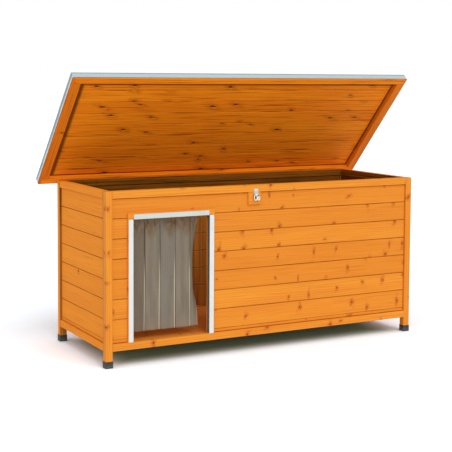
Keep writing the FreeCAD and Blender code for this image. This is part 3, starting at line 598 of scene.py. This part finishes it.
class DOGHOUSE_OT_metal(bpy.types.Operator):
    """Finish the trims, roof sheet, latch, hinges and foot caps"""
    bl_idname = "doghouse.metal"
    bl_label = "Metal and rubber"

    def execute(self, context):
        look = context.scene.doghouse_metal

        def coat(name, colour, dull, *nodes, **facts):
            dress(metal_finish(name, tuple(colour), dull, **facts), *nodes)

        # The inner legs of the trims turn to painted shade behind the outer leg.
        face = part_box("door_trim_left")[0].y + TRIM_SHEET
        inwards = {"second": tuple(look.trim_leg_shade), "span": (1, face + 0.001, face + 0.002)}
        coat("trim_upright", look.trim, 0.4, "door_trim_left", "door_trim_right", grain=2,
             metallic=0.4, **inwards)
        # The head trim in its painted shade colour.
        coat("trim_level", look.trim_head_shade, 0.4, "door_trim_top", grain=0, metallic=0.5, **inwards)
        # Painted light: the front band lighter than the sides, and a painted highlight on the side
        # lips.
        coat("roof_front", look.roof_top, 0.42, "roof_trim_front", grain=0, on_lid=True,
             metallic=0.25, second=tuple(look.roof_front), span=FRONT_TURNS)
        coat("roof_sides", look.roof_top, 0.42, "roof_trim_left", "roof_trim_right", grain=1,
             on_lid=True, metallic=0.25, second=tuple(look.roof_lip_highlight), span=SIDES_TURN)
        coat("roof_top", look.roof_top, 0.45, "roof_sheet", grain=1, on_lid=True, metallic=0.3)
        # The plate turns to painted shade under the lever.
        coat("latch_zinc", look.zinc, 0.35, "latch_plate", "latch_lever", grain=2, metallic=0.6,
             second=tuple(look.latch_shade), span=PLATE_SHADE_TURNS, cloudy=0.5)
        coat("hinge_zinc", look.hinge, 0.4, "hinge_lower_leaves", "hinge_upper_leaves",
             metallic=0.8)
        # The keeper in the same painted shade colour as the plate.
        coat("keeper_steel", look.latch_shade, 0.5, "latch_keeper", metallic=0.3)
        dress(rubber_finish("foot_rubber", tuple(look.rubber)),
              *["foot_cap_%s_%s" % (a, b) for a in ("front", "back") for b in ("left", "right")])
        return {"FINISHED"}


# ---- Surfaces ----

def grid_piece(name, points, around=False, uv=None):
    """Mesh object from points on a grid, rows by columns by 3. around joins the last column to
    the first. The uv, one pair a point, is kept as the piece's map."""
    rows, columns = points.shape[:2]
    index = np.arange(rows * columns).reshape(rows, columns)
    right = np.roll(index, -1, axis=1)
    if not around:
        index, right = index[:, :-1], right[:, :-1]
    faces = np.stack([index[:-1], right[:-1], right[1:], index[1:]], axis=-1).reshape(-1, 4)
    mesh = bpy.data.meshes.new(name)
    mesh.from_pydata(points.reshape(-1, 3).tolist(), [], faces.tolist())
    mesh.polygons.foreach_set("use_smooth", np.ones(len(faces), bool))
    if uv is not None:
        corners = np.zeros(len(mesh.loops), np.int32)
        mesh.loops.foreach_get("vertex_index", corners)
        layer = mesh.uv_layers.new(name="sheet")
        layer.data.foreach_set("uv", uv.reshape(-1, 2)[corners].astype(np.float32).ravel())
    made = bpy.data.objects.new(name, mesh)
    bpy.context.scene.collection.objects.link(made)
    return made


def merged(piece, distance=1e-6):
    """Joins doubled points, as at a pole, and turns the faces outwards."""
    shell = bmesh.new()
    shell.from_mesh(piece.data)
    bmesh.ops.remove_doubles(shell, verts=shell.verts, dist=distance)
    bmesh.ops.recalc_face_normals(shell, faces=shell.faces)
    shell.to_mesh(piece.data)
    shell.free()
    return piece


# ---- Strip curtain ----

class DogHouseCurtain(bpy.types.PropertyGroup):
    """Form and colour of the strip curtain."""
    colour: rgba("Strip", "Smoky clear plastic", painted(118, 107, 91))
    pale: rgba("Strip, pale", "Where it catches the light", painted(130, 120, 104))
    seam: rgba("Strip edge", "Light in a strip's cut edge", painted(204, 194, 170))
    brown: rgba("Strip, top", "Clearer plastic under the batten", painted(122, 101, 76))
    thick: amount("Thickness", "Sheet of a strip", 0.0018, 0.0005, unit="LENGTH")
    fold: amount("Folds", "Height of the creases under the batten", 0.0055, unit="LENGTH")
    milky: factor("Opacity", "How much the milky part hides what is behind it", 0.9)
    clear: factor("Opacity at the top", "How much the clear part hides", 0.75)
    lobe: amount("Lobe width", "Width of one milky lobe at the top", 0.083, 0.01, unit="LENGTH")


# Tones of the plastic, from its draw lines to the gap at a strip's edge. The left tone is painted
# shade.
PVC_TONES = {name: painted(*levels) for name, levels in {
    "dark_line": (96, 84, 66), "pale_line": (156, 148, 134), "foot": (144, 120, 100),
    "left": (98, 82, 62), "cool": (112, 109, 101), "pale_streak": (150, 128, 100),
    "dark_patch": (92, 72, 44), "gap": (84, 70, 52)}.items()}
# Where the lobes start and where the highest one lies, in x, and the lowest height of their
# border, in z.
LOBES_FROM = -0.032
HIGHEST_LOBE = -0.4885
LOBE_BORDER = 0.455
# The painted shade on the left side ends here, and the greyer band has its middle here.
LEFT_SHADE_ENDS = (-0.564, -0.556)
COOL_BAND = -0.455


def pvc_finish(look):
    """Smoky plastic sheet. Its milky part ends in rounded lobes, a |sin| of the width, with a
    clearer brown band above. Draw lines run down it, and its lower cut edges catch the light.
    U runs across a strip and V down it."""
    recipe = Recipe("curtain_pvc")
    tone = PVC_TONES
    across, down, _ = recipe.parts(recipe.node("ShaderNodeUVMap", {"uv_map": "sheet"}))
    x, _, z = recipe.parts(recipe.place())
    lines = recipe.noise(recipe.vector(x * 260, 0.0, z * 1.6), detail=4.0, roughness=0.7)
    broad = recipe.noise(recipe.vector(x * 34, 0.0, z * 5.5), detail=3.0)
    ragged = recipe.noise(recipe.vector(x * 90, 0.0, z * 26), detail=2.0)
    lobes = abs(((x - LOBES_FROM) * (math.pi / look.lobe)).wave())
    highest = abs(x - HIGHEST_LOBE).fade(0.09, 0.0)
    rise = lobes * lobes * (highest * 0.04 + 0.03)
    border = rise + broad * 0.06 + ragged * 0.04 + LOBE_BORDER
    milk = (border - z).fade(-0.03, 0.024)
    left = x.fade(*LEFT_SHADE_ENDS) * 0.55 + 0.45
    cool = abs(x - COOL_BAND).fade(0.05, 0.03) * broad.fade(0.2, 0.6)
    rim = across.fade(0.935, 0.965) * down.fade(0.3, 0.6)
    gap = across.fade(0.07, 0.02) * down.fade(0.1, 0.3)

    colour = recipe.mix(broad.fade(0.35, 0.7), tuple(look.colour), tuple(look.pale))
    colour = recipe.mix(lines.fade(0.5, 0.7) * 0.5, colour, tone["dark_line"])
    colour = recipe.mix(lines.fade(0.45, 0.3) * 0.4, colour, tone["pale_line"])
    colour = recipe.mix(down.fade(0.86, 1.0) * 0.5, colour, tone["foot"])
    # Painted shade down the left side of the curtain.
    colour = recipe.mix(1.0 - left, colour, tone["left"])
    colour = recipe.mix(cool * 0.4, colour, tone["cool"])
    streaked = recipe.mix(lines.fade(0.42, 0.66) * 0.6, tuple(look.brown), tone["pale_streak"])
    streaked = recipe.mix(ragged.fade(0.45, 0.7) * 0.7, streaked, tone["dark_patch"])
    colour = recipe.mix(milk, streaked, colour)
    colour = recipe.mix(gap * 0.5, colour, tone["gap"])
    colour = recipe.mix(rim * 0.9, colour, tuple(look.seam))
    alpha = milk * (look.milky - look.clear) + look.clear + lines * 0.08 + rim * 0.2
    return recipe.surface(height=lines * 0.5 + broad + ragged * 0.5, depth=0.0015, strength=0.4,
                          Base_Color=colour, Roughness=broad * 0.3 + 0.3, Alpha=alpha.least(1.0),
                          Specular_IOR_Level=0.3)


# A strip ends this far, and half its thickness, under its node's top. It hangs this far in front
# of the batten's back. Its creases start this share of its length down, clear of the batten. A
# strip under this width is the one that curls.
TOP_GAP = 0.0002
STRIP_INSET = 0.010048
CREASE_FROM = 0.028
NARROW = 0.05


def strip_points(low, high, look, number):
    """A strip as y over its width s and its length t, both 0 to 1: a bow 4s(1-s), a chevron
    crease, the sine of |2s-1| and t, that dies away below the batten, and a slow swell down the
    length. The last strip is narrow and curls back on an arc whose angle is largest half way."""
    rows, columns = 121, 25
    t, s = np.meshgrid(np.linspace(0, 1, rows), np.linspace(0, 1, columns), indexing="ij")
    top = high.z - look.thick / 2 - TOP_GAP
    left, wide = low.x, high.x - low.x
    z = top + (low.z - top) * t
    fade_in = np.clip((t - CREASE_FROM) / 0.05, 0, 1) ** 2
    upper = np.exp(-(t / 0.12) ** 2)
    turn = 1.7 * number
    chevron = np.sin(2 * np.pi * (0.9 * np.abs(2 * s - 1) + 8.0 * t) + turn)
    rib = np.sin(2 * np.pi * (1.3 * s + 2.2 * t) + 2.3 * turn)
    crease = look.fold * fade_in * upper * (0.75 * chevron + 0.5 * rib)
    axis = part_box("curtain_batten")[1].y - STRIP_INSET
    if wide < NARROW:
        free = np.clip((t - CREASE_FROM) / (1 - CREASE_FROM), 0, 1)
        angle = 0.004 + 2.35 * np.sin(np.pi * free ** 0.88) ** 2
        x = left + wide * np.sin(angle * s) / angle
        y = axis + crease * 0.4 + wide * (1 - np.cos(angle * s)) / angle
    else:
        swell = 0.0022 * fade_in * np.sin(2 * np.pi * (0.8 * t + 0.23 * number)) * (1 - upper)
        wave = 0.0012 * fade_in * np.sin(2 * np.pi * (1.5 * s + 0.4 * t) + turn)
        bow = 0.003 * fade_in * 4 * s * (1 - s)
        x = left + wide * s
        y = axis - bow + crease + swell + wave
    return np.stack([x, y, z], axis=-1), np.stack([s, t], axis=-1)


class DOGHOUSE_OT_curtain(bpy.types.Operator):
    """Hang the five clear strips under their batten"""
    bl_idname = "doghouse.curtain"
    bl_label = "Strip curtain"

    def execute(self, context):
        look = context.scene.doghouse_curtain
        finish = pvc_finish(look)
        for number in range(1, 6):
            node = "curtain_strip_%d" % number
            low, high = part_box(node)
            points, uv = strip_points(low, high, look, number)
            strip = grid_piece("clear_strip_%d" % number, points, uv=uv)
            strip.data.materials.append(finish)
            wall = strip.modifiers.new("thickness", "SOLIDIFY")
            wall.thickness = look.thick
            wall.offset = 0.0
            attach(strip, "strip_%d" % number)
            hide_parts(node)
        return {"FINISHED"}


# ---- Screws ----

# Rim of a head and depth of its cross as shares of its height, and reach and half width of the
# cross as shares of its radius.
SCREW_RIM = 0.35
CROSS_DEPTH = 0.6
CROSS_REACH = 0.62
CROSS_HALF = 0.14


def screw_points(radius, height, turn, rings=9, spokes=32):
    """Domed head over a polar grid: a rim of a share of the height, and a dome 1 - (r/R)^3 on it,
    sunk where the polar place falls in a cross, then a straight side and a flat underside."""
    share = np.concatenate([np.linspace(0, 1, rings), [1.0, 0.0]])
    angle = np.arange(spokes) / spokes * 2 * np.pi
    r, a = np.meshgrid(share * radius, angle, indexing="ij")
    x, y = r * np.cos(a), r * np.sin(a)
    z = height * (SCREW_RIM + (1 - SCREW_RIM) * (1 - (r / radius) ** 3))
    u, v = x * np.cos(turn) + y * np.sin(turn), y * np.cos(turn) - x * np.sin(turn)
    near = np.minimum(np.abs(u), np.abs(v)) / radius
    inside = (np.clip((CROSS_REACH - r / radius) / 0.1, 0, 1)
              * np.clip((CROSS_HALF - near) / 0.06, 0, 1))
    z = z - height * CROSS_DEPTH * inside
    z[-2:] = 0.0
    return np.stack([x, y, z], axis=-1)


def set_screw(name, body, place, outwards, radius, turn, finish):
    """A screw head seated at place, its dome towards outwards."""
    points = screw_points(radius, radius * 0.45, turn)
    turn_to = Vector((0, 0, 1)).rotation_difference(Vector(outwards)).to_matrix()
    placed = points.reshape(-1, 3) @ np.array(turn_to).T + np.array(place)
    head = merged(grid_piece(name, placed.reshape(points.shape), around=True))
    head.data.materials.append(finish)
    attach(head, body)


# ---- Latch ----

SQUARENESS = 3.5


def bar_loop(centre, wide, high, section, sag, turns=64):
    """Flat bar bent into an egg: the path is an ellipse in x and z, narrower to the top by sag,
    and the section is a rounded rectangle |a|^p + |b|^p = 1 with p as its squareness, kept square
    to the path."""
    angle = np.arange(turns) / turns * 2 * np.pi
    squeeze = 1 - sag * (np.sin(angle) * 0.5 + 0.5) ** 2
    path = np.stack([wide * np.cos(angle) * squeeze, 0 * angle, high * np.sin(angle)], axis=-1)
    ahead = np.roll(path, -1, axis=0) - np.roll(path, 1, axis=0)
    ahead /= np.linalg.norm(ahead, axis=1)[:, None]
    outwards = np.cross(ahead, (0.0, 1.0, 0.0))
    round_trip = np.arange(16) / 16 * 2 * np.pi
    power = 2 / SQUARENESS
    a = np.sign(np.cos(round_trip)) * np.abs(np.cos(round_trip)) ** power * section[0] / 2
    b = np.sign(np.sin(round_trip)) * np.abs(np.sin(round_trip)) ** power * section[1] / 2
    points = path[:, None] + a[None, :, None] * outwards[:, None]
    points = points + b[None, :, None] * np.array((0.0, 1.0, 0.0)) + np.array(centre)
    return np.concatenate([points, points[:1]])


def barrel_points(centre, radius, long, hollow):
    """Rolled barrel along x: the outer radius, swelling a little to the middle by a cosine, its
    rounded ends and the bore, as one profile turned about the axis."""
    share = np.linspace(-1, 1, 13)
    outer = radius * (0.97 + 0.03 * np.cos(share * np.pi / 2))
    along = share * long / 2
    lip = radius * 0.85
    left, right = along[0], along[-1]
    profile_x = np.concatenate([[left], along, [right, right, left, left]])
    profile_r = np.concatenate([[lip], outer, [lip, hollow, hollow, lip]])
    angle = np.arange(32) / 32 * 2 * np.pi
    x = np.repeat(profile_x[:, None], 32, axis=1)
    y = profile_r[:, None] * np.cos(angle)
    z = profile_r[:, None] * np.sin(angle)
    return np.stack([x, y, z], axis=-1) + np.array(centre)


# The lever's barrel round the pin, and its two loops of flat bar: a loop's middle is given in x
# from the pin, in y behind the lever's front and in z above its lowest point.
BARREL_RADIUS = 0.003
BARREL_LENGTH = 0.0178
BARREL_BORE = 0.0016
LOOPS = {
    "lever_ring": {"middle": (-0.0052, 0.0009, 0.0142), "wide": 0.0072, "high": 0.0116,
                   "section": (0.0052, 0.0017), "sag": 0.3},
    "lever_tab": {"middle": (0.0092, 0.0010, 0.0092), "wide": 0.0046, "high": 0.0066,
                  "section": (0.0052, 0.0018), "sag": 0.2},
}


class DOGHOUSE_OT_latch(bpy.types.Operator):
    """Hang the latch's looped lever on its pin"""
    bl_idname = "doghouse.latch"
    bl_label = "Latch"

    def execute(self, context):
        look = context.scene.doghouse_metal
        finish = metal_finish("lever_zinc", tuple(look.lever), 0.3, metallic=0.6, cloudy=0.3)
        low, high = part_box("latch_lever")
        pin = Vector((middle("latch_plate").x, low.y + BARREL_RADIUS, high.z - BARREL_RADIUS))
        pieces = {"lever_barrel": barrel_points(pin, BARREL_RADIUS, BARREL_LENGTH, BARREL_BORE)}
        for name, form in LOOPS.items():
            across, back, up = form["middle"]
            pieces[name] = bar_loop((pin.x + across, low.y + back, low.z + up), form["wide"],
                                    form["high"], form["section"], form["sag"])
        for name, points in pieces.items():
            piece = merged(grid_piece(name, points, around=True))
            piece.data.materials.append(finish)
            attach(piece, "lever")
            if name == "lever_ring":
                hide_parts("latch_lever")
        return {"FINISHED"}


# Screws sit this far from the hinge line, this far either side of a hinge's middle and this far
# below the latch plate's top. A hinge is this long on either side of its middle.
SCREW_FROM_HINGE = 0.0125
SCREW_SPREAD = 0.02
SCREW_UNDER_TOP = 0.006
HINGE_HALF = 0.03
PLATE_THICK = 0.0015
SCREW_RADIUS = {"latch": 0.0032, "hinge": 0.003}


class DOGHOUSE_OT_screws(bpy.types.Operator):
    """Screw the latch plate and the hinge leaves down"""
    bl_idname = "doghouse.screws"
    bl_label = "Screws"

    def execute(self, context):
        finish = metal_finish("screw_zinc", SCREW_STEEL, 0.3)
        draw = np.random.default_rng(7)

        def drive(name, body, place, outwards, radius):
            set_screw(name, body, place, outwards, radius, draw.uniform(0, 1.5), finish)

        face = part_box("top_rail_front")[0].y - PLATE_THICK
        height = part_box("latch_plate")[1].z - SCREW_UNDER_TOP
        drive("latch_screw", "box", (middle("latch_plate").x, face, height), (0, -1, 0),
              SCREW_RADIUS["latch"])

        away = SCREW_FROM_HINGE
        lower = frame["nodes"]["hinge_lower_leaves"].data.vertices
        leaf = max(v.co.y for v in lower if v.co.z < HINGE_LINE.z - away) - HINGE_LINE.y
        low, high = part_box("hinge_lower_leaves")
        spread = (high.x - low.x) / 2 - HINGE_HALF
        opened = Matrix.Rotation(-LID_OPEN, 3, "X")
        back = Vector((0, 1, 0))
        for i, x in enumerate((-spread, 0.0, spread), 1):
            for j, side in enumerate((-SCREW_SPREAD, SCREW_SPREAD), 1):
                drive("hinge_low_screw_%d_%d" % (i, j), "box",
                      HINGE_LINE + Vector((x + side, leaf, -away)), back, SCREW_RADIUS["hinge"])
                drive("hinge_top_screw_%d_%d" % (i, j), "lid",
                      HINGE_LINE + opened @ Vector((x + side, leaf, away)), opened @ back,
                      SCREW_RADIUS["hinge"])
        return {"FINISHED"}


# ---- Studio ----

def turned(name, description, degrees):
    """An angle property."""
    return bpy.props.FloatProperty(name=name, description=description, subtype="ANGLE",
                                   unit="ROTATION", default=math.radians(degrees))


class DogHouseStudio(bpy.types.PropertyGroup):
    """Camera and lights."""
    place: bpy.props.FloatVectorProperty(name="Camera", description="Place of the camera",
                                         subtype="TRANSLATION", unit="LENGTH", size=3,
                                         default=(-2.41313, -4.34195, 1.15996))
    heading: turned("Heading", "Camera's turn to the right of +Y", 28.12665)
    dip: turned("Dip", "Camera's tilt below level", 4.51968)
    roll: turned("Roll", "Camera's roll", 0.32504)
    lens: amount("Lens", "Focal length on a 36 mm sensor", 88.784, 10.0)
    sky: amount("Sky", "Brightness of the even light", 0.5)
    key: amount("Key", "Strength of the soft sun", 1.2)
    fill: amount("Fill", "Strength of the weak sun from the left", 0.6)
    front: amount("Front", "Strength of the low weak sun from the front", 1.1)


SENSOR = 36.0
SHIFT = (0.01833, -0.13496)
FAR = 200.0
FLOOR_REACH = 30.0
FLOOR_DROP = 0.0005
# Colours of the floor in the open and of its shade under the box, each as it is seen and for the
# light that it gives back. The shade fades in from outside the box's outline to inside it.
FLOOR_SEEN = (1.22, 1.29, 1.36, 1)
FLOOR_UNSEEN = (0.85, 0.85, 0.85, 1)
SHADE_SEEN = (0.28, 0.48, 0.36, 1)
SHADE_UNSEEN = (0.3, 0.3, 0.28, 1)
SHADE_FADES = (0.04, -0.14)
# Each sun's spread, heading and dip in degrees.
SUNS = {"key": (45, -8, 50), "fill": (70, 75, 25), "front": (40, 12, 7)}


def shown(recipe):
    """1 for what the camera, a reflection or a clear sheet shows, 0 for the light given."""
    paths = recipe.node("ShaderNodeLightPath").socket.node.outputs
    shows = Reading(recipe, paths["Is Camera Ray"])
    for ray in ("Is Glossy Ray", "Is Transmission Ray"):
        shows = shows.most(Reading(recipe, paths[ray]))
    return shows


def floor_finish():
    """Plain floor: pale in the open, with a shadow painted into its colour under the box."""
    recipe = Recipe("studio_floor")
    x, y, _ = recipe.parts(recipe.place())
    low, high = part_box("bottom_rail_front")[0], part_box("bottom_rail_back")[1]
    middle_y, half_y = (low.y + high.y) / 2, (high.y - low.y) / 2
    beyond = (abs(x) - high.x).most(abs(y - middle_y) - half_y)
    under = beyond.fade(*SHADE_FADES)
    colour = recipe.mix(shown(recipe), recipe.mix(under, FLOOR_UNSEEN, SHADE_UNSEEN),
                        recipe.mix(under, FLOOR_SEEN, SHADE_SEEN))
    shader = recipe.node("ShaderNodeBsdfDiffuse", inputs={"Color": colour})
    recipe.node("ShaderNodeOutputMaterial", inputs={"Surface": shader})
    return recipe.material


def aim(obj, heading, dip, roll=0.0):
    """Turns obj so that its -Z looks along heading, from +Y to the right, and dip below level."""
    ahead = Vector((math.sin(heading) * math.cos(dip), math.cos(heading) * math.cos(dip),
                    -math.sin(dip)))
    right = Vector((math.cos(heading), -math.sin(heading), 0))
    up = right.cross(ahead)
    right, up = (right * math.cos(roll) + up * math.sin(roll),
                 up * math.cos(roll) - right * math.sin(roll))
    obj.rotation_euler = Matrix((right, up, -ahead)).transposed().to_euler()


class DOGHOUSE_OT_studio(bpy.types.Operator):
    """Set up the floor, the even light, the lamps and the camera"""
    bl_idname = "doghouse.studio"
    bl_label = "Studio"

    def execute(self, context):
        scene = context.scene
        look = scene.doghouse_studio
        scene.view_settings.view_transform = "Standard"

        reach = np.linspace(-FLOOR_REACH, FLOOR_REACH, 13)
        x, y = np.meshgrid(reach, reach, indexing="ij")
        floor = merged(grid_piece("studio_floor", np.stack([x, y, 0 * x - FLOOR_DROP], axis=-1)))
        floor.data.materials.append(floor_finish())

        scene.world = bpy.data.worlds.new("studio")
        recipe = Recipe("studio", scene.world)
        strength = shown(recipe) * (1.0 - look.sky) + look.sky
        even = recipe.node("ShaderNodeBackground", inputs={"Color": (1, 1, 1, 1),
                                                           "Strength": strength})
        recipe.node("ShaderNodeOutputWorld", inputs={"Surface": even})

        for name, (spread, heading, dip) in SUNS.items():
            lamp = bpy.data.lights.new(name, "SUN")
            lamp.energy = getattr(look, name)
            lamp.angle = math.radians(spread)
            made = bpy.data.objects.new(name, lamp)
            scene.collection.objects.link(made)
            aim(made, math.radians(heading), math.radians(dip))

        lens = bpy.data.cameras.new("camera")
        lens.lens = look.lens
        lens.sensor_width = SENSOR
        lens.shift_x, lens.shift_y = SHIFT
        lens.clip_end = FAR
        camera = bpy.data.objects.new("camera", lens)
        camera.location = look.place
        aim(camera, look.heading, look.dip, look.roll)
        scene.collection.objects.link(camera)
        scene.camera = camera
        return {"FINISHED"}


# ---- Add-on ----

OPERATORS = (DOGHOUSE_OT_studio, DOGHOUSE_OT_timber, DOGHOUSE_OT_metal, DOGHOUSE_OT_curtain,
             DOGHOUSE_OT_latch, DOGHOUSE_OT_screws)


class DOGHOUSE_PT_panel(bpy.types.Panel):
    """Lists what the add-on makes"""
    bl_idname = "DOGHOUSE_PT_panel"
    bl_label = "Dog house"
    bl_space_type = "VIEW_3D"
    bl_region_type = "UI"
    bl_category = "Dog house"

    def draw(self, context):
        for operator in OPERATORS:
            self.layout.operator(operator.bl_idname)


SETTINGS = {
    "doghouse_timber": DogHouseTimber,
    "doghouse_metal": DogHouseMetal,
    "doghouse_curtain": DogHouseCurtain,
    "doghouse_studio": DogHouseStudio,
}
CLASSES = (TimberLook, *SETTINGS.values(), *OPERATORS, DOGHOUSE_PT_panel)


def register():
    for item in CLASSES:
        bpy.utils.register_class(item)
    for name, group in SETTINGS.items():
        setattr(bpy.types.Scene, name, bpy.props.PointerProperty(type=group))


def unregister():
    for name in SETTINGS:
        delattr(bpy.types.Scene, name)
    for item in reversed(CLASSES):
        bpy.utils.unregister_class(item)


def main():
    register()
    bpy.ops.doghouse.studio()
    bpy.ops.doghouse.timber()
    bpy.ops.doghouse.metal()
    bpy.ops.doghouse.curtain()
    bpy.ops.doghouse.latch()
    bpy.ops.doghouse.screws()


if __name__ == "__main__":
    main()
